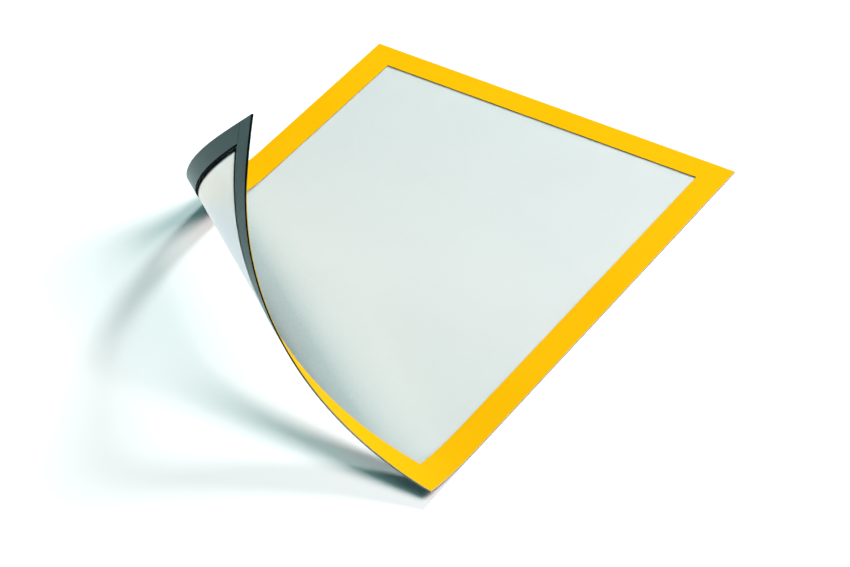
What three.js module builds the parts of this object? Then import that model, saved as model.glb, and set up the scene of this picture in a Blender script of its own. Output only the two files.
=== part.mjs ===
// Magnetic display frame for an A4 sheet, lying flat with one corner peeled up and curled over.
// The frame is a thin laminate: a coloured cover on a dark core border, a clear matt film bonded
// behind the window, and four magnetic strips on the back. It bends only along straight lines that
// fan out across the sheet, so every layer is cut from a flat blank and folded along those lines.
// Blank coordinates: X across, Y down from the top edge as negative numbers, both from the top left
// corner of the front face, which faces +Z while the sheet is flat.
import * as THREE from 'three';

// Blank, in millimetres
const SHEET_WIDTH = 236;
const SHEET_HEIGHT = 323;
const BORDER_WIDTH = 16;
const STRIP_WIDTH = 12.5;
const STRIP_SEAM = 0.3;
const FILM_GROOVE = 1;

// Layers, from the front to the back, in millimetres
const COVER_THICKNESS = 0.15;
const CORE_THICKNESS = 0.3;
const FILM_THICKNESS = 0.18;
const STRIP_THICKNESS = 0.5;
const BOND_LINE = 0.02;

// Curl, in millimetres and degrees. The curled corner is the bottom left one, and its point is the tip.
// Length of the left edge that bends, up from the tip, with the stretches where the bend comes and goes
const LEFT_EDGE_BENT = 214;
const BEND_COMES_OVER = 64;
const BEND_GOES_OVER = 106;
// Length of the right edge that bends, up from its bottom corner
const RIGHT_EDGE_BENT = 61;
// Slope of the last bending line, at the tip, against the bottom edge, and the whole turn of the tip
const TIP_LINE_SLOPE = 61;
const TIP_TURN = 121;
// How late the bending lines steepen on their way to the tip: 1 is evenly, more is later
const STEEPENING = 2;

// Bending sections: each turns on a line of its own, with a hairline cut between neighbours
const SECTION_COUNT = 7;
const FOLDS_PER_SECTION = 10;
const SECTION_CUT = 0.3;

// Two points closer than this on the blank are one point
const SAME_POINT = 1e-5;

const FOLD_COUNT = SECTION_COUNT * FOLDS_PER_SECTION;
const FOLD_ANGLE = THREE.MathUtils.degToRad(TIP_TURN) / FOLD_COUNT;
const CORE_FRONT = COVER_THICKNESS + BOND_LINE;
const CORE_BACK = CORE_FRONT + CORE_THICKNESS;
const BACK_LAYER = CORE_BACK + BOND_LINE;
const LAMINATE_THICKNESS = BACK_LAYER + STRIP_THICKNESS;

const COVER_FINISH = { color: 0xffc510, roughness: 0.5, metalness: 0 };
const CORE_FINISH = { color: 0x15191b, roughness: 0.7, metalness: 0 };
const FILM_FINISH = { color: 0xdde6e4, roughness: 0.55, metalness: 0 };
const STRIP_FINISH = { color: 0x4b5759, roughness: 0.55, metalness: 0 };

// Area under a smooth step from 0 to 1, from its foot up to the share t of its run
const areaUnderEase = (t) => t ** 3 - t ** 4 / 2;

// Share of the whole bend that is taken up on the left edge, this far from where the bend starts
function bendShareAfter(run) {
  const evenly = LEFT_EDGE_BENT - BEND_COMES_OVER - BEND_GOES_OVER;
  const come = Math.min(run, BEND_COMES_OVER) / BEND_COMES_OVER;
  const even = THREE.MathUtils.clamp(run - BEND_COMES_OVER, 0, evenly);
  const stillToGo = Math.min(LEFT_EDGE_BENT - run, BEND_GOES_OVER) / BEND_GOES_OVER;
  const gone = areaUnderEase(1) - areaUnderEase(stillToGo);
  const whole = (BEND_COMES_OVER + BEND_GOES_OVER) * areaUnderEase(1) + evenly;
  return (BEND_COMES_OVER * areaUnderEase(come) + even + BEND_GOES_OVER * gone) / whole;
}

// How far along the left edge the bend has reached a share, found by halving the interval
function runOfBendShare(share) {
  let low = 0;
  let high = LEFT_EDGE_BENT;
  while (high - low > SAME_POINT) {
    const middle = (low + high) / 2;
    if (bendShareAfter(middle) < share) low = middle;
    else high = middle;
  }
  return (low + high) / 2;
}

// A straight bending line across the blank. The first one joins the places where the two long edges
// start to bend, and the others steepen towards the tip, so the lines fan out.
function bendingLine(share) {
  const run = runOfBendShare(share);
  const firstSlope = Math.atan2(LEFT_EDGE_BENT - RIGHT_EDGE_BENT, SHEET_WIDTH);
  const lastSlope = THREE.MathUtils.degToRad(TIP_LINE_SLOPE);
  const slope = firstSlope + (lastSlope - firstSlope) * (run / LEFT_EDGE_BENT) ** STEEPENING;
  const start = new THREE.Vector2(0, LEFT_EDGE_BENT - SHEET_HEIGHT - run);
  const along = new THREE.Vector2(Math.cos(slope), -Math.sin(slope));
  const towardsTip = new THREE.Vector2(-Math.sin(slope), -Math.cos(slope));
  return { start, along, towardsTip };
}

// How far a point of the blank lies beyond a line, towards the tip
const beyond = (line, point) => point.clone().sub(line.start).dot(line.towardsTip);

const folds = [];
for (let i = 0; i < FOLD_COUNT; i += 1) {
  folds.push(bendingLine((i + 0.5) / FOLD_COUNT));
}
const hinges = [];
for (let i = 0; i < SECTION_COUNT; i += 1) {
  hinges.push(bendingLine((i + 0.5) / SECTION_COUNT));
}

// One turn about a bending line of the blank, which lifts what lies beyond it
function foldAbout(line) {
  const start = new THREE.Vector3(line.start.x, line.start.y, 0);
  const axis = new THREE.Vector3(line.along.x, line.along.y, 0);
  const turn = new THREE.Matrix4().makeRotationAxis(axis, -FOLD_ANGLE);
  const there = new THREE.Matrix4().makeTranslation(start);
  const back = new THREE.Matrix4().makeTranslation(start.clone().negate());
  return there.multiply(turn).multiply(back);
}

// facets[i] carries the blank's flat stretch after fold i into space: facets[0] is the sheet's flat part
const facets = [new THREE.Matrix4()];
for (const fold of folds) {
  facets.push(facets.at(-1).clone().multiply(foldAbout(fold)));
}

const facetNormal = (index) => new THREE.Vector3(0, 0, 1).transformDirection(facets[index]);

// Direction in which the layers' thickness is set off. On a fold it is mitred between two facets.
function thicknessDirection(point, facet) {
  const normal = facetNormal(facet);
  for (const neighbour of [facet - 1, facet + 1]) {
    const fold = folds[Math.min(neighbour, facet)];
    if (neighbour >= 0 && fold && Math.abs(beyond(fold, point)) < SAME_POINT) {
      return normal.add(facetNormal(neighbour)).normalize().divideScalar(Math.cos(FOLD_ANGLE / 2));
    }
  }
  return normal;
}

// Place in space of a blank point at a depth behind the front face
function placeOnSheet(point, facet, depth) {
  const front = new THREE.Vector3(point.x, point.y, 0).applyMatrix4(facets[facet]);
  return front.addScaledVector(thicknessDirection(point, facet), -depth);
}

// The part of a convex outline where a signed distance is positive
function clipOutline(outline, distance) {
  const kept = [];
  outline.forEach((point, i) => {
    const next = outline[(i + 1) % outline.length];
    const here = distance(point);
    const there = distance(next);
    if (here >= 0) kept.push(point);
    if ((here > 0 && there < 0) || (here < 0 && there > 0)) {
      kept.push(point.clone().lerp(next, here / (here - there)));
    }
  });
  return THREE.ShapeUtils.area(kept) > SAME_POINT ? kept : [];
}

// Cuts a convex outline along the folds into flat cells, each with the facet that carries it
function cellsOf(outline) {
  const cells = [];
  for (let facet = 0; facet <= FOLD_COUNT; facet += 1) {
    let cell = outline;
    if (facet > 0) cell = clipOutline(cell, (point) => beyond(folds[facet - 1], point));
    if (facet < FOLD_COUNT) cell = clipOutline(cell, (point) => -beyond(folds[facet], point));
    if (cell.length > 2) cells.push({ outline: cell, facet });
  }
  return cells;
}

// The part of a convex outline that belongs to one section. Section 0 is the flat part.
function sectionOf(outline, section) {
  let part = outline;
  if (section > 0) {
    part = clipOutline(part, (point) => beyond(hinges[section - 1], point) - SECTION_CUT / 2);
  }
  if (section < SECTION_COUNT) {
    part = clipOutline(part, (point) => -beyond(hinges[section], point) - SECTION_CUT / 2);
  }
  return part;
}

const pointKey = (point) => `${Math.round(point.x / SAME_POINT)},${Math.round(point.y / SAME_POINT)}`;

// Closed solid between two depths over cells that meet edge to edge
function solidOverCells(cells, frontDepth, backDepth) {
  const positions = [];
  const frontOf = new Map();
  const indices = [];
  const openEdges = new Map();
  for (const { outline, facet } of cells) {
    const keys = outline.map(pointKey);
    keys.forEach((key, i) => {
      if (frontOf.has(key)) return;
      frontOf.set(key, positions.length / 3);
      positions.push(...placeOnSheet(outline[i], facet, frontDepth).toArray());
      positions.push(...placeOnSheet(outline[i], facet, backDepth).toArray());
    });
    for (let i = 1; i + 1 < keys.length; i += 1) {
      const corners = [keys[0], keys[i], keys[i + 1]].map((key) => frontOf.get(key));
      indices.push(...corners, ...corners.map((corner) => corner + 1).reverse());
    }
    keys.forEach((key, i) => {
      const next = keys[(i + 1) % keys.length];
      if (!openEdges.delete(`${next} ${key}`)) openEdges.set(`${key} ${next}`, [key, next]);
    });
  }
  for (const [from, to] of openEdges.values()) {
    const [a, b] = [frontOf.get(from), frontOf.get(to)];
    indices.push(a, a + 1, b + 1, a, b + 1, b);
  }
  const geometry = new THREE.BufferGeometry();
  geometry.setAttribute('position', new THREE.Float32BufferAttribute(positions, 3));
  geometry.setIndex(indices);
  geometry.computeVertexNormals();
  return geometry;
}

// Groups cells that share an edge, because each group is one piece of material
function connectedGroups(cells) {
  const edgesOf = (cell) => {
    const keys = cell.outline.map(pointKey);
    return keys.map((key, i) => [key, keys[(i + 1) % keys.length]].sort().join(' '));
  };
  let groups = [];
  for (const cell of cells) {
    const edges = new Set(edgesOf(cell));
    const touching = groups.filter((group) => [...edges].some((edge) => group.edges.has(edge)));
    const joined = { cells: [cell], edges };
    for (const group of touching) {
      joined.cells.push(...group.cells);
      group.edges.forEach((edge) => joined.edges.add(edge));
    }
    groups = groups.filter((group) => !touching.includes(group));
    groups.push(joined);
  }
  return groups.map((group) => group.cells);
}

// Names the sheet's edges that a group of cells reaches
function edgesReached(cells) {
  const points = cells.flatMap((cell) => cell.outline);
  const reached = [];
  if (points.some((point) => point.x < SAME_POINT)) reached.push('left');
  if (points.some((point) => point.x > SHEET_WIDTH - SAME_POINT)) reached.push('right');
  if (points.some((point) => point.y < SAME_POINT - SHEET_HEIGHT)) reached.push('bottom');
  return reached.join('_');
}

function outlineBetween(left, right, top, bottom) {
  return [
    new THREE.Vector2(left, -top),
    new THREE.Vector2(left, -bottom),
    new THREE.Vector2(right, -bottom),
    new THREE.Vector2(right, -top),
  ];
}

// The border round the window as eight blocks: four sides and four corners
function borderBlocks() {
  const across = [0, BORDER_WIDTH, SHEET_WIDTH - BORDER_WIDTH, SHEET_WIDTH];
  const down = [0, BORDER_WIDTH, SHEET_HEIGHT - BORDER_WIDTH, SHEET_HEIGHT];
  const blocks = [];
  for (let column = 0; column < 3; column += 1) {
    for (let row = 0; row < 3; row += 1) {
      const isWindow = column === 1 && row === 1;
      if (!isWindow) {
        blocks.push(outlineBetween(across[column], across[column + 1], down[row], down[row + 1]));
      }
    }
  }
  return blocks;
}

// The short strips run the full width, and the long ones butt against them
function stripOutlines() {
  const betweenTop = STRIP_WIDTH + STRIP_SEAM;
  const betweenBottom = SHEET_HEIGHT - STRIP_WIDTH - STRIP_SEAM;
  return {
    top: outlineBetween(0, SHEET_WIDTH, 0, STRIP_WIDTH),
    bottom: outlineBetween(0, SHEET_WIDTH, SHEET_HEIGHT - STRIP_WIDTH, SHEET_HEIGHT),
    left: outlineBetween(0, STRIP_WIDTH, betweenTop, betweenBottom),
    right: outlineBetween(SHEET_WIDTH - STRIP_WIDTH, SHEET_WIDTH, betweenTop, betweenBottom),
  };
}

function filmOutline() {
  const inset = STRIP_WIDTH + FILM_GROOVE;
  return outlineBetween(inset, SHEET_WIDTH - inset, inset, SHEET_HEIGHT - inset);
}

function addPiece(parent, name, cells, frontDepth, thickness, finish) {
  const geometry = solidOverCells(cells, frontDepth, frontDepth + thickness);
  const mesh = new THREE.Mesh(geometry, new THREE.MeshStandardMaterial(finish));
  mesh.name = name;
  parent.add(mesh);
}

function addBorderLayer(parent, layer, section, frontDepth, thickness, finish) {
  const cells = borderBlocks().flatMap((block) => cellsOf(sectionOf(block, section)));
  for (const group of connectedGroups(cells)) {
    const name = section === 0 ? `${layer}_flat` : `${layer}_bend_${section}_${edgesReached(group)}`;
    addPiece(parent, name, group, frontDepth, thickness, finish);
  }
}

function addFilm(parent, section) {
  const cells = cellsOf(sectionOf(filmOutline(), section));
  const name = section === 0 ? 'window_film_flat' : `window_film_bend_${section}`;
  if (cells.length > 0) addPiece(parent, name, cells, BACK_LAYER, FILM_THICKNESS, FILM_FINISH);
}

function addStrips(parent, section) {
  for (const [side, outline] of Object.entries(stripOutlines())) {
    const cells = cellsOf(sectionOf(outline, section));
    const name = section === 0 ? `magnetic_strip_${side}_flat` : `magnetic_strip_${side}_bend_${section}`;
    if (cells.length > 0) addPiece(parent, name, cells, BACK_LAYER, STRIP_THICKNESS, STRIP_FINISH);
  }
}

// Each hinge lies halfway through the laminate. Turning on its axis curls the sheet further.
function hingeInSpace(hinge, index) {
  const facet = FOLDS_PER_SECTION * index + Math.floor(FOLDS_PER_SECTION / 2);
  const place = placeOnSheet(hinge.start, facet, LAMINATE_THICKNESS / 2);
  const axis = new THREE.Vector3(-hinge.along.x, -hinge.along.y, 0).transformDirection(facets[facet]);
  return { place, axis };
}

const displayFrame = new THREE.Group();
for (let section = 0; section <= SECTION_COUNT; section += 1) {
  addBorderLayer(displayFrame, 'cover', section, 0, COVER_THICKNESS, COVER_FINISH);
  addBorderLayer(displayFrame, 'core', section, CORE_FRONT, CORE_THICKNESS, CORE_FINISH);
  addFilm(displayFrame, section);
  addStrips(displayFrame, section);
}

// The origin is under the middle of the curled frame, on the surface that it lies on
const bounds = new THREE.Box3().setFromObject(displayFrame, true);
const middle = bounds.getCenter(new THREE.Vector3());
displayFrame.position.set(-middle.x, -middle.y, -bounds.min.z);
displayFrame.userData.hinges = hinges.map(hingeInSpace);

export default displayFrame;
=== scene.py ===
import math

import bpy
import numpy as np
from mathutils import Matrix, Quaternion, Vector


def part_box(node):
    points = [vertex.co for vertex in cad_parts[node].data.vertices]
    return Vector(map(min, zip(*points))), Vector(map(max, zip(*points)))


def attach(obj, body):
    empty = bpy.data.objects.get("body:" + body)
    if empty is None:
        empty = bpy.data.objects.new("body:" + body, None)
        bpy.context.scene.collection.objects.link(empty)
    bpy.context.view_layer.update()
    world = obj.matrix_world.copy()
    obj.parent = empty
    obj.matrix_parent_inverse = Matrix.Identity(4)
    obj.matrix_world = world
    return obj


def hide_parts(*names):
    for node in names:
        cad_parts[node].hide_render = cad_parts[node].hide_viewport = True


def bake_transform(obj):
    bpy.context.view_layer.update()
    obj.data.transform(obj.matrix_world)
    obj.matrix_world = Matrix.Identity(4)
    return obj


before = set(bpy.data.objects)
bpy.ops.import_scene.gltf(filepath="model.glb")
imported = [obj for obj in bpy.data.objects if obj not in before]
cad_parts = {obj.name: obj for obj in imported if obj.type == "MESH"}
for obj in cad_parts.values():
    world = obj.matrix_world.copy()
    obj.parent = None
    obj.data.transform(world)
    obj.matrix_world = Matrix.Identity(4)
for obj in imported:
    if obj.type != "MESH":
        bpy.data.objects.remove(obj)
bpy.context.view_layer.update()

# The sheet's own sizes, in millimetres, the same as the frame's
SHEET_WIDTH = 236.0
SHEET_HEIGHT = 323.0
BORDER_WIDTH = 16.0
STRIP_WIDTH = 12.5
STRIP_SEAM = 0.3
FILM_GROOVE = 1.0
COVER_THICKNESS = 0.15
CORE_THICKNESS = 0.3
FILM_THICKNESS = 0.18
STRIP_THICKNESS = 0.5
BOND_LINE = 0.02
CORE_FRONT = COVER_THICKNESS + BOND_LINE
BACK_LAYER = CORE_FRONT + CORE_THICKNESS + BOND_LINE
LAMINATE_THICKNESS = BACK_LAYER + STRIP_THICKNESS

# The curl's bending lines, in millimetres and degrees, measured from the curled corner
LEFT_EDGE_BENT = 214.0
BEND_COMES_OVER = 64.0
BEND_GOES_OVER = 106.0
RIGHT_EDGE_BENT = 61.0
TIP_LINE_SLOPE = 61.0
TIP_TURN = 121.0
STEEPENING = 2

# Each band bends over one hinge, and its folds are too fine to show
BAND_COUNT = 7
FOLDS_PER_BAND = 36
FOLD_COUNT = BAND_COUNT * FOLDS_PER_BAND
FOLD_ANGLE = math.radians(TIP_TURN) / FOLD_COUNT

# The meshes: a tile's length and two tolerances in millimetres, and the least sharp angle
TILE = 20.0
SAME_POINT = 1e-5
NEAR_SEAM = 1e-3
SHARP_ANGLE = math.radians(30)

# A millimetre in the frame's unit
METRE = 0.001

# Each mesh's material slots
FACE, CUT, SEAM = 0, 1, 2


def area_under_ease(t):
    """How much bend a smooth start has taken up at a share t of its length."""
    return t**3 - t**4 / 2


def bend_share_after(run):
    """Share of the whole bend taken up on the left edge, this far from where it starts."""
    evenly = LEFT_EDGE_BENT - BEND_COMES_OVER - BEND_GOES_OVER
    come = min(run, BEND_COMES_OVER) / BEND_COMES_OVER
    even = min(max(run - BEND_COMES_OVER, 0), evenly)
    still_to_go = min(LEFT_EDGE_BENT - run, BEND_GOES_OVER) / BEND_GOES_OVER
    gone = area_under_ease(1) - area_under_ease(still_to_go)
    whole = (BEND_COMES_OVER + BEND_GOES_OVER) * area_under_ease(1) + evenly
    return (BEND_COMES_OVER * area_under_ease(come) + even + BEND_GOES_OVER * gone) / whole


def run_of_bend_share(share):
    """How far down the left edge a share of the whole bend is reached."""
    low, high = 0.0, LEFT_EDGE_BENT
    while high - low > SAME_POINT:
        middle = (low + high) / 2
        if bend_share_after(middle) < share:
            low = middle
        else:
            high = middle
    return (low + high) / 2


class BendingLine:
    """A straight line across the blank about which the sheet bends."""

    def __init__(self, share):
        run = run_of_bend_share(share)
        first = math.atan2(LEFT_EDGE_BENT - RIGHT_EDGE_BENT, SHEET_WIDTH)
        last = math.radians(TIP_LINE_SLOPE)
        slope = first + (last - first) * (run / LEFT_EDGE_BENT) ** STEEPENING
        self.start = np.array([0.0, LEFT_EDGE_BENT - SHEET_HEIGHT - run])
        self.along = np.array([math.cos(slope), -math.sin(slope)])
        self.towards_tip = np.array([-math.sin(slope), -math.cos(slope)])

    def beyond(self, point):
        """How far a point of the blank lies past the line, towards the curled tip."""
        from_start = point[0] - self.start[0], point[1] - self.start[1]
        return from_start[0] * self.towards_tip[0] + from_start[1] * self.towards_tip[1]

    def length(self):
        """How far the line runs from the left edge before it leaves the blank."""
        to_right = SHEET_WIDTH / self.along[0]
        to_bottom = (-SHEET_HEIGHT - self.start[1]) / self.along[1]
        return min(to_right, to_bottom)


def fold_about(line):
    """The turn that one fold gives to all beyond its line."""
    start = Vector((line.start[0], line.start[1], 0))
    axis = Vector((line.along[0], line.along[1], 0))
    turn = Matrix.Rotation(-FOLD_ANGLE, 4, axis)
    return np.array(Matrix.Translation(start) @ turn @ Matrix.Translation(-start))


folds = [BendingLine((i + 0.5) / FOLD_COUNT) for i in range(FOLD_COUNT)]
band_lines = [BendingLine(i / BAND_COUNT) for i in range(BAND_COUNT + 1)]
hinges = [BendingLine((i + 0.5) / BAND_COUNT) for i in range(BAND_COUNT)]
facets = [np.eye(4)]
for fold in folds:
    facets.append(facets[-1] @ fold_about(fold))

# The blank's top left front corner in the frame
top_low, top_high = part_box("magnetic_strip_top_flat")
SHEET_CORNER = np.array([top_low.x, top_high.y, top_low.z + LAMINATE_THICKNESS * METRE])


def facet_of(point):
    """Number of folds that lie before a point of the blank."""
    low, high = 0, FOLD_COUNT
    while low < high:
        middle = (low + high) // 2
        if folds[middle].beyond(point) > 0:
            low = middle + 1
        else:
            high = middle
    return low


def in_space(point, facet, depth):
    """Place in the frame, in metres, of a blank point at a depth behind the front face."""
    front = facets[facet] @ np.array([point[0], point[1], 0.0, 1.0])
    normal = facets[facet][:3, 2]
    for neighbour in (facet - 1, facet + 1):
        fold = min(neighbour, facet)
        if 0 <= neighbour <= FOLD_COUNT and 0 <= fold < FOLD_COUNT:
            if abs(folds[fold].beyond(point)) < SAME_POINT:
                both = normal + facets[neighbour][:3, 2]
                normal = both / np.linalg.norm(both) / math.cos(FOLD_ANGLE / 2)
                break
    return SHEET_CORNER + (front[:3] - normal * depth) * METRE


def area(outline):
    return sum(a[0] * b[1] - b[0] * a[1] for a, b in zip(outline, outline[1:] + outline[:1])) / 2


def clip(outline, distance):
    """The part of a convex outline where a distance isn't negative."""
    kept = []
    for here, after in zip(outline, outline[1:] + outline[:1]):
        d_here, d_after = distance(here), distance(after)
        if d_here >= 0:
            kept.append(here)
        if d_here * d_after < 0:
            share = d_here / (d_here - d_after)
            x = here[0] + (after[0] - here[0]) * share
            y = here[1] + (after[1] - here[1]) * share
            kept.append((x, y))
    return kept if area(kept) > SAME_POINT else []


def cells_of(outline, band):
    """Cuts a convex outline along the folds, and keeps what lies in one band. Band -1 is the flat
    part. Each cell comes with its facet, which is the number of folds before it."""
    if band >= 0:
        outline = clip(outline, band_lines[band].beyond)
    if outline and band < BAND_COUNT - 1:
        outline = clip(outline, lambda p: -band_lines[band + 1].beyond(p))
    if not outline:
        return []
    reached = [facet_of(point) for point in outline]
    cells = []
    for facet in range(max(min(reached) - 1, 0), min(max(reached) + 1, FOLD_COUNT) + 1):
        cell = outline
        if facet > 0:
            cell = clip(cell, folds[facet - 1].beyond)
        if cell and facet < FOLD_COUNT:
            cell = clip(cell, lambda p: -folds[facet].beyond(p))
        if len(cell) > 2:
            cells.append((cell, facet))
    return cells


def steps(low, high):
    """Even steps of about one tile between two places."""
    count = max(1, round((high - low) / TILE))
    return [low + (high - low) * i / count for i in range(count + 1)]


def tiles(across, down):
    """Rectangles between sorted places across and down the blank, anticlockwise."""
    for left, right in zip(across, across[1:]):
        for top, bottom in zip(down, down[1:]):
            yield [(left, -top), (left, -bottom), (right, -bottom), (right, -top)]


def border_tiles():
    """Tiles of the blank's border, without its window."""
    inner_right, inner_bottom = SHEET_WIDTH - BORDER_WIDTH, SHEET_HEIGHT - BORDER_WIDTH
    across = [0.0] + steps(BORDER_WIDTH, inner_right) + [SHEET_WIDTH]
    down = [0.0] + steps(BORDER_WIDTH, inner_bottom) + [SHEET_HEIGHT]
    for tile in tiles(across, down):
        middle_x = (tile[0][0] + tile[2][0]) / 2
        middle_y = -(tile[0][1] + tile[2][1]) / 2
        if not (BORDER_WIDTH < middle_x < inner_right and BORDER_WIDTH < middle_y < inner_bottom):
            yield tile


def film_tiles():
    inset = STRIP_WIDTH + FILM_GROOVE
    return tiles(steps(inset, SHEET_WIDTH - inset), steps(inset, SHEET_HEIGHT - inset))


def strip_tiles(side):
    """Tiles of one strip: the left and right ones lie between the top and bottom ones."""
    inner_right, inner_bottom = SHEET_WIDTH - STRIP_WIDTH, SHEET_HEIGHT - STRIP_WIDTH
    between = steps(STRIP_WIDTH + STRIP_SEAM, inner_bottom - STRIP_SEAM)
    if side == "top":
        return tiles(steps(0.0, SHEET_WIDTH), [0.0, STRIP_WIDTH])
    if side == "bottom":
        return tiles(steps(0.0, SHEET_WIDTH), [inner_bottom, SHEET_HEIGHT])
    if side == "left":
        return tiles([0.0, STRIP_WIDTH], between)
    return tiles([inner_right, SHEET_WIDTH], between)


def key_of(point):
    return round(point[0] / SAME_POINT), round(point[1] / SAME_POINT)


def seams_at(point, seams):
    return {i for i, seam in enumerate(seams) if abs(seam.beyond(point)) < NEAR_SEAM}


def layer_mesh(name, cells, front_depth, thickness, lengthwise, seams):
    """Closed mesh of one layer over cells that meet edge to edge. Its sheet attribute holds each
    vertex's place on the blank and its depth, in metres, so that the grain stays with the material
    when the sheet bends. A lengthwise strip has X and Y swapped, so that its grain runs along X."""
    vertices, places, faces, index_of, open_edges, on_seams = [], [], [], {}, {}, {}
    for outline, facet in cells:
        keys = [key_of(point) for point in outline]
        for key, point in zip(keys, outline):
            if key not in index_of:
                index_of[key] = len(vertices)
                on_seams[len(vertices)] = seams_at(point, seams)
                along, over = (point[1], point[0]) if lengthwise else point
                for depth in (front_depth, front_depth + thickness):
                    vertices.append(in_space(point, facet, depth))
                    places.append((along * METRE, over * METRE, depth * METRE))
        ring = []
        for key in keys:
            if not ring or ring[-1] != index_of[key]:
                ring.append(index_of[key])
        if ring[0] == ring[-1]:
            ring.pop()
        if len(ring) < 3:
            continue
        faces.append(ring)
        faces.append([i + 1 for i in reversed(ring)])
        for a, b in zip(ring, ring[1:] + ring[:1]):
            if open_edges.pop((b, a), None) is None:
                open_edges[(a, b)] = True
    kinds = [FACE] * len(faces)
    for a, b in open_edges:
        faces.append([a, a + 1, b + 1, b])
        kinds.append(SEAM if on_seams[a] & on_seams[b] else CUT)
    mesh = bpy.data.meshes.new(name)
    mesh.from_pydata([tuple(v) for v in vertices], [], faces)
    mesh.polygons.foreach_set("material_index", kinds)
    attribute = mesh.attributes.new("sheet", "FLOAT_VECTOR", "POINT")
    attribute.data.foreach_set("vector", np.array(places, np.float32).ravel())
    mesh.shade_smooth()
    mesh.set_sharp_from_angle(angle=SHARP_ANGLE)
    mesh.update()
    return mesh


def smooth_step_place(weight):
    """Where a smooth step from 0 to 1 reaches a weight."""
    return 0.5 - math.sin(math.asin(1 - 2 * weight) / 3)


def band_bend(band):
    """Start and end points of the blend over one hinge. The weights where two bands meet are such
    that both carry the shared line to the same place, and the sheet comes out flat when the hinges
    unroll it."""
    middles = [line.start + line.along * line.length() / 2 for line in hinges]
    before = [band_lines[i].beyond(middles[i]) for i in range(BAND_COUNT)]
    after = [-band_lines[i + 1].beyond(middles[i]) for i in range(BAND_COUNT)]
    a, b = before[band], after[band]
    w_start, w_end = 0.0, 1.0
    if band > 0:
        w_start = after[band - 1] / (2 * (a + after[band - 1]))
    if band < BAND_COUNT - 1:
        w_end = 1 - before[band + 1] / (2 * (before[band + 1] + b))
    t_start, t_end = smooth_step_place(w_start), smooth_step_place(w_end)
    per_step = (a + b) / (t_end - t_start)
    facet = band * FOLDS_PER_BAND + FOLDS_PER_BAND // 2
    middle = in_space(middles[band], facet, LAMINATE_THICKNESS / 2)
    towards = facets[facet][:3, :3] @ np.array([*hinges[band].towards_tip, 0.0])
    start = middle + towards * (-a - t_start * per_step) * METRE
    end = middle + towards * (-a + (1 - t_start) * per_step) * METRE
    return tuple(start), tuple(end)


# Colours: shares of red, green and blue light, and 1 for opaque
FOIL_DARK = (0.97, 0.49, 0.001, 1)
FOIL_LIGHT = (1.0, 0.515, 0.003, 1)
FOIL_SPECK = (1.0, 0.55, 0.006, 1)
FOIL_RUBBED = (1.0, 0.70, 0.16, 1)
# Foil dragged over the cut, painted paler than the cover's foil as painted light on the shaded cut
FOIL_DRAGGED_PAINTED_LIGHT = (1.0, 0.66, 0.03, 1)
CORE_DARK = (0.0025, 0.0035, 0.004, 1)
CORE_LIGHT = (0.007, 0.009, 0.010, 1)
CUT_DARK = (0.001, 0.0018, 0.0025, 1)
CUT_LIGHT = (0.004, 0.006, 0.0075, 1)
GLUE = (0.70, 0.76, 0.75, 1)
# Painted light on the cut faces where the edge lies down
PAINTED_LIGHT_TONE = (0.48, 0.51, 0.50, 1)
FILM_DARK = (0.93, 0.93, 0.928, 1)
FILM_LIGHT = (0.95, 0.95, 0.948, 1)
FILM_PLAIN = (0.99, 0.99, 0.99, 1)
# Painted shade on the film's front towards the bottom edge
FILM_PAINTED_SHADE = (0.80, 0.86, 0.85, 1)
FILM_SLANTED_DARK = (0.52, 0.63, 0.635, 1)
FILM_SLANTED_LIGHT = (0.71, 0.805, 0.815, 1)
FILM_BACK = (0.80, 0.885, 0.93, 1)
FILM_SCATTER = (0.92, 0.92, 0.92, 1)
FILM_SCATTER_COATED = (0.50, 0.57, 0.56, 1)
FILM_SCATTER_BACK = (0.79, 0.88, 0.93, 1)
FILM_MATT = (0.90, 0.90, 0.90, 1)
FILM_MATT_COATED = (0.38, 0.45, 0.45, 1)
FILM_SHADE = (0.95, 0.96, 0.957, 1)
FILM_SHADE_SLANTED = (0.32, 0.36, 0.355, 1)
FROST_DARK = (0.74, 0.79, 0.785, 1)
FROST_LIGHT = (0.90, 0.93, 0.93, 1)
RUBBER_DARK = (0.083, 0.137, 0.142, 1)
RUBBER_LIGHT = (0.107, 0.168, 0.174, 1)
RUBBER_LINE = (0.118, 0.185, 0.192, 1)
# Painted sheen on the rubber at a glancing angle
RUBBER_PAINTED_SHEEN = (0.46, 0.62, 0.62, 1)
FLOOR_BOUNCED = (0.96, 0.96, 0.96, 1)
FLOOR_SHOWN = (1.2, 1.2, 1.19, 1)
SKY_LIT = (0.42, 1.0, 0.98, 1)
WHITE = (1, 1, 1, 1)

# Noises: waves a metre, detail and roughness
CLOUD_DETAIL = (2.0, 0.5)
FOIL_CLOUDS = (18.0, *CLOUD_DETAIL)
FOIL_SPECKS = (1400.0, 3.0, 0.65)
FOIL_PEBBLES = (1500.0, 3.0, 0.6)
FOIL_SHEEN = (500.0, *CLOUD_DETAIL)
FOIL_RUB = (300.0, *CLOUD_DETAIL)
CUT_PORES = (2200.0, 3.0, 0.7)
CUT_TEARS = (1.0, 2.0, 0.5)
PAINTED_LIGHT_PATCHES = (700.0, 3.0, 0.5)
FILM_GRAIN = (1500.0, 3.0, 0.65)
FILM_CLOUDS = (22.0, 3.0, 0.5)
FILM_FROST = (2600.0, 3.0, 0.7)
RUBBER_LINES = (1.0, 3.0, 0.6)
RUBBER_CLOUDS = (60.0, 3.0, 0.5)
RUBBER_GRAIN = (2000.0, 2.0, 0.5)

# Stretched noises: waves a metre along X, Y and Z of the sheet attribute
TEAR_STRETCH = (400, 400, 4000)
LINE_STRETCH = (8, 1500, 1)

# Nearly all of a noise lies between these
NOISE_SPAN = (0.3, 0.7)

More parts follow.
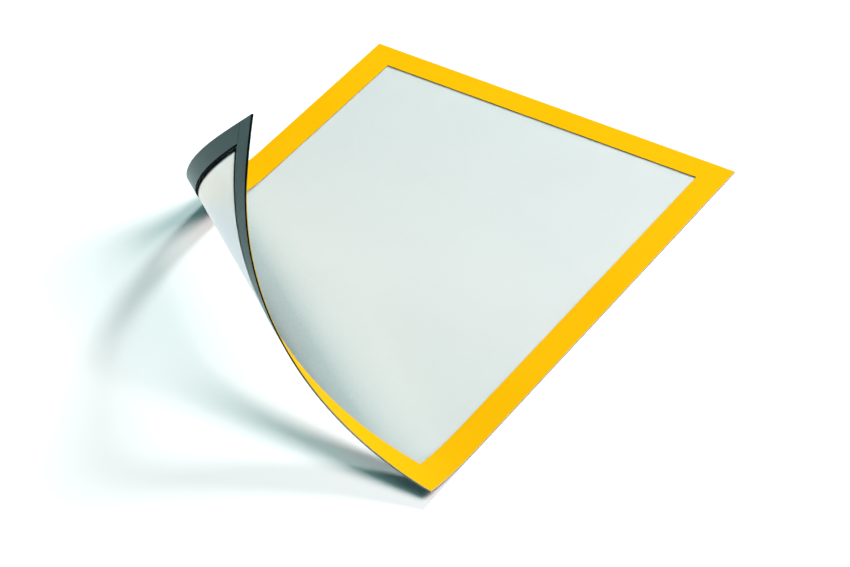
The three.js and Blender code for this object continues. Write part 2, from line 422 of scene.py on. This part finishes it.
# Where effects start and end, in metres from an edge or a corner of the blank
RUB_REACH = 0.0005
PAINTED_LIGHT_REACH = 0.001
PAINTED_LIGHT_FROM_CORNER = (0.14, 0.18)
DRAG_FROM_CORNER = (0.034, 0.046)
# Painted shade on the film's front, from the bottom edge
PAINTED_SHADE_FROM_BOTTOM = (0.05, 0.14)
# Painted shade on the bottom strip's back near its outer edge
EDGE_SHADE_FROM_BOTTOM = (0.0006, 0.0012)
GLUE_FROM_GROOVE = (0.0008, 0.0011)

# Where effects start and end, in metres behind the front face
DRAG_DEPTH = (0.00027, 0.00032)
GLUE_DEPTH = (0.00042, 0.00046)
FILM_FRONT_DEPTH = (
    (BACK_LAYER + FILM_THICKNESS / 3) * METRE,
    (BACK_LAYER + FILM_THICKNESS / 2) * METRE,
)

# Where effects start and end, as a face turns from the camera (0) to its side (1)
COAT_SLANT = (0.38, 0.60)
SHADE_SLANT = (0.22, 0.60)
PAINTED_SHEEN_POWER = 4.0
EVEN_BLEND = 0.5

# Shares that a noise sets: of the speck, the rub, the painted light on the cuts, the plain film and
# the lines
SPECK_SHARE = (0.0, 0.2)
RUB_SHARE = (0.1, 0.6)
PAINTED_LIGHT_SHARE = (0.6, 0.95)
PLAIN_SHARE = (0.0, 0.6)
LINE_SHARE = (0.0, 0.35)

# The film: how much painted shade darkens its front towards the bottom edge, and how much of the
# light it scatters or returns
PAINTED_SHADE_SHARE = 0.6
SCATTER_SHARE = (0.12, 0.45)
MATT_SHARE = 0.12
FILM_IOR = 1.12

# Roughness
FOIL_ROUGHNESS = (0.40, 0.52)
CUT_ROUGHNESS = (0.80, 0.95)
FILM_ROUGHNESS = (0.62, 0.76)
FROST_ROUGHNESS = (0.5, 0.7)
RUBBER_ROUGHNESS = (0.38, 0.52)

# Gloss
FOIL_GLOSS = 0.005
CUT_GLOSS = 0.02
RUBBER_GLOSS = 0.06

# Bumps: the height in metres, and the strength on each surface
BUMP_HEIGHT = 0.00003
FOIL_BUMP = 0.35
CUT_BUMP = 0.4
FILM_BUMP = 0.3
RUBBER_BUMP = 0.3

# The colour mix node has a socket of each kind, and these are the ones for colours
MIX_FACTOR, MIX_FIRST, MIX_SECOND, MIX_RESULT = 0, 6, 7, 2


def node_tree(name):
    material = bpy.data.materials.new(name)
    material.use_nodes = True
    tree = material.node_tree
    tree.nodes.clear()
    return material, tree


def feed(tree, socket, value):
    """Gives an input a plain value, or links it to another node's output."""
    if isinstance(value, bpy.types.NodeSocket):
        tree.links.new(value, socket)
    else:
        socket.default_value = value


def add(tree, kind, **inputs):
    """A node of a kind, with plain values or sockets given to its inputs by name."""
    node = tree.nodes.new(kind)
    for key, value in inputs.items():
        feed(tree, node.inputs[key.replace("_", " ")], value)
    return node


def finish_material(tree, shader):
    output = tree.nodes.new("ShaderNodeOutputMaterial")
    tree.links.new(shader.outputs[0], output.inputs["Surface"])


def math_node(tree, operation, first, second=0.0):
    node = tree.nodes.new("ShaderNodeMath")
    node.operation = operation
    feed(tree, node.inputs[0], first)
    feed(tree, node.inputs[1], second)
    return node.outputs[0]


def product(tree, first, second):
    return math_node(tree, "MULTIPLY", first, second)


def greater(tree, first, second):
    return math_node(tree, "MAXIMUM", first, second)


def ranged(tree, value, before, after, start, end):
    """One number before a start, going over evenly to another after an end."""
    node = add(
        tree, "ShaderNodeMapRange", Value=value,
        From_Min=start, From_Max=end, To_Min=before, To_Max=after,
    )
    return node.outputs["Result"]


def rising(tree, value, start, end):
    return ranged(tree, value, 0.0, 1.0, start, end)


def falling(tree, value, start, end):
    return ranged(tree, value, 1.0, 0.0, start, end)


def spread(tree, value, low=0.0, high=1.0):
    """A noise spread out over a range."""
    return ranged(tree, value, low, high, *NOISE_SPAN)


def mixed(tree, factor, first, second):
    """A colour between two others."""
    node = tree.nodes.new("ShaderNodeMix")
    node.data_type = "RGBA"
    feed(tree, node.inputs[MIX_FACTOR], factor)
    feed(tree, node.inputs[MIX_FIRST], first)
    feed(tree, node.inputs[MIX_SECOND], second)
    return node.outputs[MIX_RESULT]


def mixed_shaders(tree, factor, first, second):
    node = tree.nodes.new("ShaderNodeMixShader")
    for socket, output in zip(node.inputs, (factor, first.outputs[0], second.outputs[0])):
        tree.links.new(output, socket)
    return node


def sheet_place(tree, stretch=(1, 1, 1)):
    """The place on the blank, in metres, stretched for grain that runs one way."""
    place = add(tree, "ShaderNodeAttribute")
    place.attribute_name = "sheet"
    scaled = add(tree, "ShaderNodeMapping", Vector=place.outputs["Vector"], Scale=stretch)
    return scaled.outputs["Vector"]


def sheet_coordinate(tree, axis):
    """X or Y on the blank, or Z, the depth behind the front face."""
    return add(tree, "ShaderNodeSeparateXYZ", Vector=sheet_place(tree)).outputs[axis]


def noise(tree, place, scale, detail, roughness):
    node = add(
        tree, "ShaderNodeTexNoise", Vector=place, Scale=scale, Detail=detail, Roughness=roughness)
    return node.outputs["Fac"]


def bump(tree, height, strength):
    node = add(tree, "ShaderNodeBump", Height=height, Strength=strength, Distance=BUMP_HEIGHT)
    return node.outputs["Normal"]


def facing_away(tree):
    """0 where a face looks at the camera, rising to 1 where it is seen from its side."""
    return add(tree, "ShaderNodeLayerWeight", Blend=EVEN_BLEND).outputs["Facing"]


def from_bottom_edge(tree):
    """Distance from the blank's bottom edge, for all but the left and right strips."""
    return math_node(tree, "ADD", sheet_coordinate(tree, "Y"), SHEET_HEIGHT * METRE)


def from_curled_corner(tree):
    """Distance from the curled corner, also for the strips whose grain runs down the sheet."""
    place = sheet_place(tree)
    distances = []
    for corner in ((0, -SHEET_HEIGHT * METRE, 0), (-SHEET_HEIGHT * METRE, 0, 0)):
        node = tree.nodes.new("ShaderNodeVectorMath")
        node.operation = "DISTANCE"
        tree.links.new(place, node.inputs[0])
        node.inputs[1].default_value = corner
        distances.append(node.outputs["Value"])
    return math_node(tree, "MINIMUM", *distances)


def edge_rub(tree, reach):
    """1 at the sheet's outer edge, falling to 0 over a reach."""
    x, y = sheet_coordinate(tree, "X"), sheet_coordinate(tree, "Y")
    nearest = x
    for distance in (
        math_node(tree, "SUBTRACT", SHEET_WIDTH * METRE, x),
        math_node(tree, "MULTIPLY", y, -1.0),
        math_node(tree, "ADD", y, SHEET_HEIGHT * METRE),
    ):
        nearest = math_node(tree, "MINIMUM", nearest, distance)
    return falling(tree, nearest, 0.0, reach)


def glue_bead(tree):
    """1 on the core's back in the groove beside the bottom strip, where the film's glue shows."""
    groove = (STRIP_WIDTH + FILM_GROOVE / 2) * METRE
    from_groove = math_node(tree, "SUBTRACT", from_bottom_edge(tree), groove)
    in_groove = falling(tree, math_node(tree, "ABSOLUTE", from_groove), *GLUE_FROM_GROOVE)
    return product(tree, in_groove, rising(tree, sheet_coordinate(tree, "Z"), *GLUE_DEPTH))


def cover_material():
    """Satin yellow foil with a fine pebble grain, and paler where its edge is rubbed."""
    material, tree = node_tree("cover_foil")
    place = sheet_place(tree)
    tone = mixed(tree, spread(tree, noise(tree, place, *FOIL_CLOUDS)), FOIL_DARK, FOIL_LIGHT)
    speck = spread(tree, noise(tree, place, *FOIL_SPECKS), *SPECK_SHARE)
    tone = mixed(tree, speck, tone, FOIL_SPECK)
    patchy = spread(tree, noise(tree, place, *FOIL_RUB), *RUB_SHARE)
    tone = mixed(tree, product(tree, edge_rub(tree, RUB_REACH), patchy), tone, FOIL_RUBBED)
    finish_material(tree, add(
        tree, "ShaderNodeBsdfPrincipled", Base_Color=tone,
        Roughness=spread(tree, noise(tree, place, *FOIL_SHEEN), *FOIL_ROUGHNESS),
        Specular_IOR_Level=FOIL_GLOSS,
        Normal=bump(tree, noise(tree, place, *FOIL_PEBBLES), FOIL_BUMP),
    ))
    return material


def cut_material(name, dark, light, dragged=False, glued=False):
    """A cut face: matt, with the small pores and tears that the die leaves, and patchy painted
    light that makes it paler where the edge lies down, away from the curled corner. If dragged, the
    die pulls yellow foil part of the way, but not at the curled corner, where two cuts cross; that
    foil is painted paler than the cover's, as painted light on the shaded cut. If glued, a pale
    bead lies in the bottom strip's groove."""
    material, tree = node_tree(name)
    place = sheet_place(tree)
    pores = noise(tree, place, *CUT_PORES)
    tears = noise(tree, sheet_place(tree, TEAR_STRETCH), *CUT_TEARS)
    tone = mixed(tree, spread(tree, pores), dark, light)
    from_corner = from_curled_corner(tree)
    if dragged:
        foil = product(
            tree, falling(tree, sheet_coordinate(tree, "Z"), *DRAG_DEPTH),
            rising(tree, from_corner, *DRAG_FROM_CORNER),
        )
        # The dragged foil is painted paler than the cover's foil: painted light on the shaded cut
        # face
        tone = mixed(tree, foil, tone, FOIL_DRAGGED_PAINTED_LIGHT)
    if glued:
        tone = mixed(tree, glue_bead(tree), tone, GLUE)
    # Painted light: patchy and paler where the edge lies down, away from the curled corner
    painted_light_area = product(
        tree, edge_rub(tree, PAINTED_LIGHT_REACH), rising(tree, from_corner, *PAINTED_LIGHT_FROM_CORNER))
    patchy = spread(tree, noise(tree, place, *PAINTED_LIGHT_PATCHES), *PAINTED_LIGHT_SHARE)
    tone = mixed(tree, product(tree, painted_light_area, patchy), tone, PAINTED_LIGHT_TONE)
    finish_material(tree, add(
        tree, "ShaderNodeBsdfPrincipled", Base_Color=tone,
        Roughness=spread(tree, tears, *CUT_ROUGHNESS),
        Specular_IOR_Level=CUT_GLOSS,
        Normal=bump(tree, math_node(tree, "ADD", pores, tears), CUT_BUMP),
    ))
    return material


def film_material():
    """Clear film with a fine matt grain that blurs what is seen through it. The matt coat on its
    front takes more of the light the longer the way through it, so a front that slants away looks
    darker. Painted shade makes its front darker towards the bottom edge."""
    material, tree = node_tree("window_film")
    place = sheet_place(tree)
    slant = facing_away(tree)
    on_front = falling(tree, sheet_coordinate(tree, "Z"), *FILM_FRONT_DEPTH)
    inside = tree.nodes.new("ShaderNodeNewGeometry").outputs["Backfacing"]
    from_front = product(tree, on_front, math_node(tree, "SUBTRACT", 1.0, inside))
    from_back = math_node(tree, "SUBTRACT", 1.0, greater(tree, on_front, inside))
    grain = noise(tree, place, *FILM_GRAIN)
    normal = bump(tree, grain, FILM_BUMP)
    coat = product(tree, from_front, rising(tree, slant, *COAT_SLANT))

    tone = mixed(tree, spread(tree, noise(tree, place, *FILM_CLOUDS)), FILM_DARK, FILM_LIGHT)
    tone = mixed(tree, spread(tree, grain, *PLAIN_SHARE), tone, FILM_PLAIN)
    # Painted shade: the film's front is darker towards the bottom edge
    painted_shade = ranged(tree, from_bottom_edge(tree), PAINTED_SHADE_SHARE, 0.0, *PAINTED_SHADE_FROM_BOTTOM)
    tone = mixed(tree, product(tree, painted_shade, from_front), tone, FILM_PAINTED_SHADE)
    slanted = mixed(tree, spread(tree, grain), FILM_SLANTED_DARK, FILM_SLANTED_LIGHT)
    tone = mixed(tree, coat, tone, slanted)
    tone = mixed(tree, from_back, tone, FILM_BACK)
    blurred = add(
        tree, "ShaderNodeBsdfRefraction", Color=tone,
        Roughness=spread(tree, grain, *FILM_ROUGHNESS), IOR=FILM_IOR, Normal=normal,
    )
    blurred.distribution = "BECKMANN"
    scatter_tone = mixed(tree, coat, FILM_SCATTER, FILM_SCATTER_COATED)
    scatter_tone = mixed(tree, from_back, scatter_tone, FILM_SCATTER_BACK)
    scattered = add(tree, "ShaderNodeBsdfTranslucent", Color=scatter_tone, Normal=normal)
    scatter_share = ranged(tree, from_back, *SCATTER_SHARE, 0.0, 1.0)
    through = mixed_shaders(tree, scatter_share, blurred, scattered)
    matt_tone = mixed(tree, coat, FILM_MATT, FILM_MATT_COATED)
    matt = add(tree, "ShaderNodeBsdfDiffuse", Color=matt_tone, Normal=normal)
    matt_share = ranged(tree, from_front, 0.0, MATT_SHARE, 0.0, 1.0)
    seen = mixed_shaders(tree, matt_share, through, matt)

    # Light that goes to the floor isn't bent, so that the film's shadow is even
    path = tree.nodes.new("ShaderNodeLightPath")
    dense = product(tree, rising(tree, slant, *SHADE_SLANT), path.outputs["Is Shadow Ray"])
    shade = mixed(tree, dense, FILM_SHADE, FILM_SHADE_SLANTED)
    clear = add(tree, "ShaderNodeBsdfTransparent", Color=shade)
    lamp_ray = greater(tree, path.outputs["Is Shadow Ray"], path.outputs["Is Diffuse Ray"])
    finish_material(tree, mixed_shaders(tree, lamp_ray, seen, clear))
    return material


def film_edge_material():
    """The film's cut edge, frosted white by the blade."""
    material, tree = node_tree("film_edge")
    frost = noise(tree, sheet_place(tree), *FILM_FROST)
    finish_material(tree, add(
        tree, "ShaderNodeBsdfPrincipled",
        Base_Color=mixed(tree, spread(tree, frost), FROST_DARK, FROST_LIGHT),
        Roughness=spread(tree, frost, *FROST_ROUGHNESS), Normal=bump(tree, frost, FILM_BUMP),
    ))
    return material


def film_seam_material():
    """Where two parts of the one film meet there is nothing to see."""
    material, tree = node_tree("film_seam")
    finish_material(tree, add(tree, "ShaderNodeBsdfTransparent", Color=WHITE))
    return material


def strip_material():
    """Dark magnetic rubber with faint lines along its length from the extruder, and a painted sheen
    that makes it paler at a glancing angle. Painted shade turns the bottom strip's back black and
    matt near its outer edge."""
    material, tree = node_tree("magnetic_rubber")
    place = sheet_place(tree)
    lines = noise(tree, sheet_place(tree, LINE_STRETCH), *RUBBER_LINES)
    clouds = noise(tree, place, *RUBBER_CLOUDS)
    tone = mixed(tree, spread(tree, clouds), RUBBER_DARK, RUBBER_LIGHT)
    tone = mixed(tree, spread(tree, lines, *LINE_SHARE), tone, RUBBER_LINE)
    # Painted sheen: the rubber is paler where it is seen at a glancing angle
    painted_sheen = math_node(tree, "POWER", facing_away(tree), PAINTED_SHEEN_POWER)
    tone = mixed(tree, painted_sheen, tone, RUBBER_PAINTED_SHEEN)
    # Painted shade: the bottom strip's back turns black near its outer edge
    painted_edge_shade = falling(tree, from_bottom_edge(tree), *EDGE_SHADE_FROM_BOTTOM)
    tone = mixed(tree, painted_edge_shade, tone, CUT_DARK)
    height = math_node(tree, "ADD", noise(tree, place, *RUBBER_GRAIN), lines)
    finish_material(tree, add(
        tree, "ShaderNodeBsdfPrincipled", Base_Color=tone,
        Roughness=greater(tree, painted_edge_shade, spread(tree, lines, *RUBBER_ROUGHNESS)),
        Specular_IOR_Level=RUBBER_GLOSS,
        Normal=bump(tree, height, RUBBER_BUMP),
    ))
    return material


dragged_cut = cut_material("dragged_cut", CUT_DARK, CUT_LIGHT, dragged=True)
materials = {
    "cover": cover_material(),
    "cover_cut": dragged_cut,
    "core": cut_material("core_board", CORE_DARK, CORE_LIGHT, glued=True),
    "core_cut": dragged_cut,
    "film": film_material(),
    "film_cut": film_edge_material(),
    "film_seam": film_seam_material(),
    "strip": strip_material(),
    "strip_cut": cut_material("rubber_cut", CUT_DARK, CUT_LIGHT),
}


# Pieces

def stands_for(layer, part):
    """The frame's nodes of one layer in one part of the sheet."""
    start = {"film": "window_film"}.get(layer, layer)
    where = "flat" if part == 0 else f"bend_{part}"
    exact = f"{start}_{where}"
    return [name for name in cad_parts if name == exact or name.startswith(exact + "_")]


def add_piece(layer, slot, tile_list, part, front_depth, thickness):
    """One layer of one part of the sheet: part 0 is flat, and part n is the curled band around
    hinge n.
    """
    cells = [cell for tile in tile_list for cell in cells_of(tile, part - 1)]
    if not cells:
        return
    name = f"{layer}_sheet_{part}"
    lengthwise = layer in ("magnetic_strip_left", "magnetic_strip_right")
    seams = band_lines[max(part - 1, 0):part + 1]
    mesh = layer_mesh(name, cells, front_depth, thickness, lengthwise, seams)
    for face_slot in (slot, f"{slot}_cut", f"{slot}_seam"):
        mesh.materials.append(materials.get(face_slot, materials[slot]))
    piece = bpy.data.objects.new(name, mesh)
    bpy.context.scene.collection.objects.link(piece)
    if part == 0:
        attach(piece, "flat_part")
    else:
        start, end = band_bend(part - 1)
        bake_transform(piece)
    replaced = stands_for(layer, part)
    if replaced:
        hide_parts(*replaced)


for part in range(BAND_COUNT + 1):
    add_piece("cover", "cover", list(border_tiles()), part, 0.0, COVER_THICKNESS)
    add_piece("core", "core", list(border_tiles()), part, CORE_FRONT, CORE_THICKNESS)
    add_piece("film", "film", list(film_tiles()), part, BACK_LAYER, FILM_THICKNESS)
    for side in ("top", "left", "right", "bottom"):
        tile_list = list(strip_tiles(side))
        add_piece(f"magnetic_strip_{side}", "strip", tile_list, part, BACK_LAYER, STRIP_THICKNESS)


# Studio: a white floor, two lamps, a wide soft one above and an even sky

# In metres: from the floor's middle to its sides, and from the floor up to the part
FLOOR_REACH = 4.0
FLOOR_GAP = 0.0001
SKY_STRENGTH = 0.06

# The camera, as solved from the photograph's straight edges and corners, in millimetres and metres
CAMERA_LENS = 155.34
CAMERA_SENSOR = 36.0
CAMERA_PLACE = (0.83906, -1.32604, 1.23046)
CAMERA_TURN = Quaternion((0.86600767, 0.41746874, 0.11884502, 0.24824672))


def seen_at_all(tree):
    """1 for what the camera sees straight, in a gloss or through the film."""
    path = tree.nodes.new("ShaderNodeLightPath")
    by_gloss = greater(tree, path.outputs["Is Glossy Ray"], path.outputs["Is Transmission Ray"])
    return greater(tree, path.outputs["Is Camera Ray"], by_gloss)


def floor_material():
    """White floor that is seen a touch whiter than it bounces light."""
    material, tree = node_tree("studio_floor")
    bounced = add(tree, "ShaderNodeBsdfDiffuse", Color=FLOOR_BOUNCED)
    shown = add(tree, "ShaderNodeBsdfDiffuse", Color=FLOOR_SHOWN)
    finish_material(tree, mixed_shaders(tree, seen_at_all(tree), bounced, shown))
    return material


def add_lamp(name, towards, distance, size, share, colour):
    """A round lamp that lights the floor's middle to a share of full white."""
    data = bpy.data.lights.new(name, "AREA")
    data.shape = "DISK"
    data.size = size
    direction = Vector(towards).normalized()
    data.energy = share * math.pi**2 * distance**2 / direction.z
    data.color = colour
    lamp = bpy.data.objects.new(name, data)
    lamp.location = direction * distance
    lamp.rotation_mode = "QUATERNION"
    lamp.rotation_quaternion = direction.to_track_quat("Z", "Y")
    bpy.context.scene.collection.objects.link(lamp)


def add_sky():
    """An even sky that is seen white and lights with a faint tint."""
    world = bpy.data.worlds.new("studio_world")
    world.use_nodes = True
    tree = world.node_tree
    tree.nodes.clear()
    lit = add(tree, "ShaderNodeBackground", Color=SKY_LIT, Strength=SKY_STRENGTH)
    shown = add(tree, "ShaderNodeBackground", Color=WHITE)
    output = tree.nodes.new("ShaderNodeOutputWorld")
    sky = mixed_shaders(tree, seen_at_all(tree), lit, shown)
    tree.links.new(sky.outputs[0], output.inputs["Surface"])
    bpy.context.scene.world = world


floor_mesh = bpy.data.meshes.new("studio_floor")
corners = ((-1, -1), (1, -1), (1, 1), (-1, 1))
floor_mesh.from_pydata(
    [(FLOOR_REACH * x, FLOOR_REACH * y, -FLOOR_GAP) for x, y in corners], [], [(0, 1, 2, 3)])
floor_mesh.materials.append(floor_material())
floor = bpy.data.objects.new("studio_floor", floor_mesh)
bpy.context.scene.collection.objects.link(floor)

add_lamp("key_lamp", towards=(0.70, 0.27, 1.0), distance=4.0, size=2.2, share=0.665,
         colour=(1.0, 0.89, 0.895))
add_lamp("back_lamp", towards=(-0.04, 1.31, 1.0), distance=1.9, size=0.36, share=0.315,
         colour=(0.92, 1.0, 1.0))
add_lamp("soft_lamp", towards=(0.0, 0.0, 1.0), distance=5.0, size=4.0, share=0.165,
         colour=(0.42, 1.0, 0.975))
add_sky()

camera_data = bpy.data.cameras.new("camera")
camera_data.lens = CAMERA_LENS
camera_data.sensor_width = CAMERA_SENSOR
camera = bpy.data.objects.new("camera", camera_data)
camera.rotation_mode = "QUATERNION"
camera.location = CAMERA_PLACE
camera.rotation_quaternion = CAMERA_TURN
bpy.context.scene.collection.objects.link(camera)
bpy.context.scene.camera = camera
bpy.context.scene.view_settings.view_transform = "Standard"
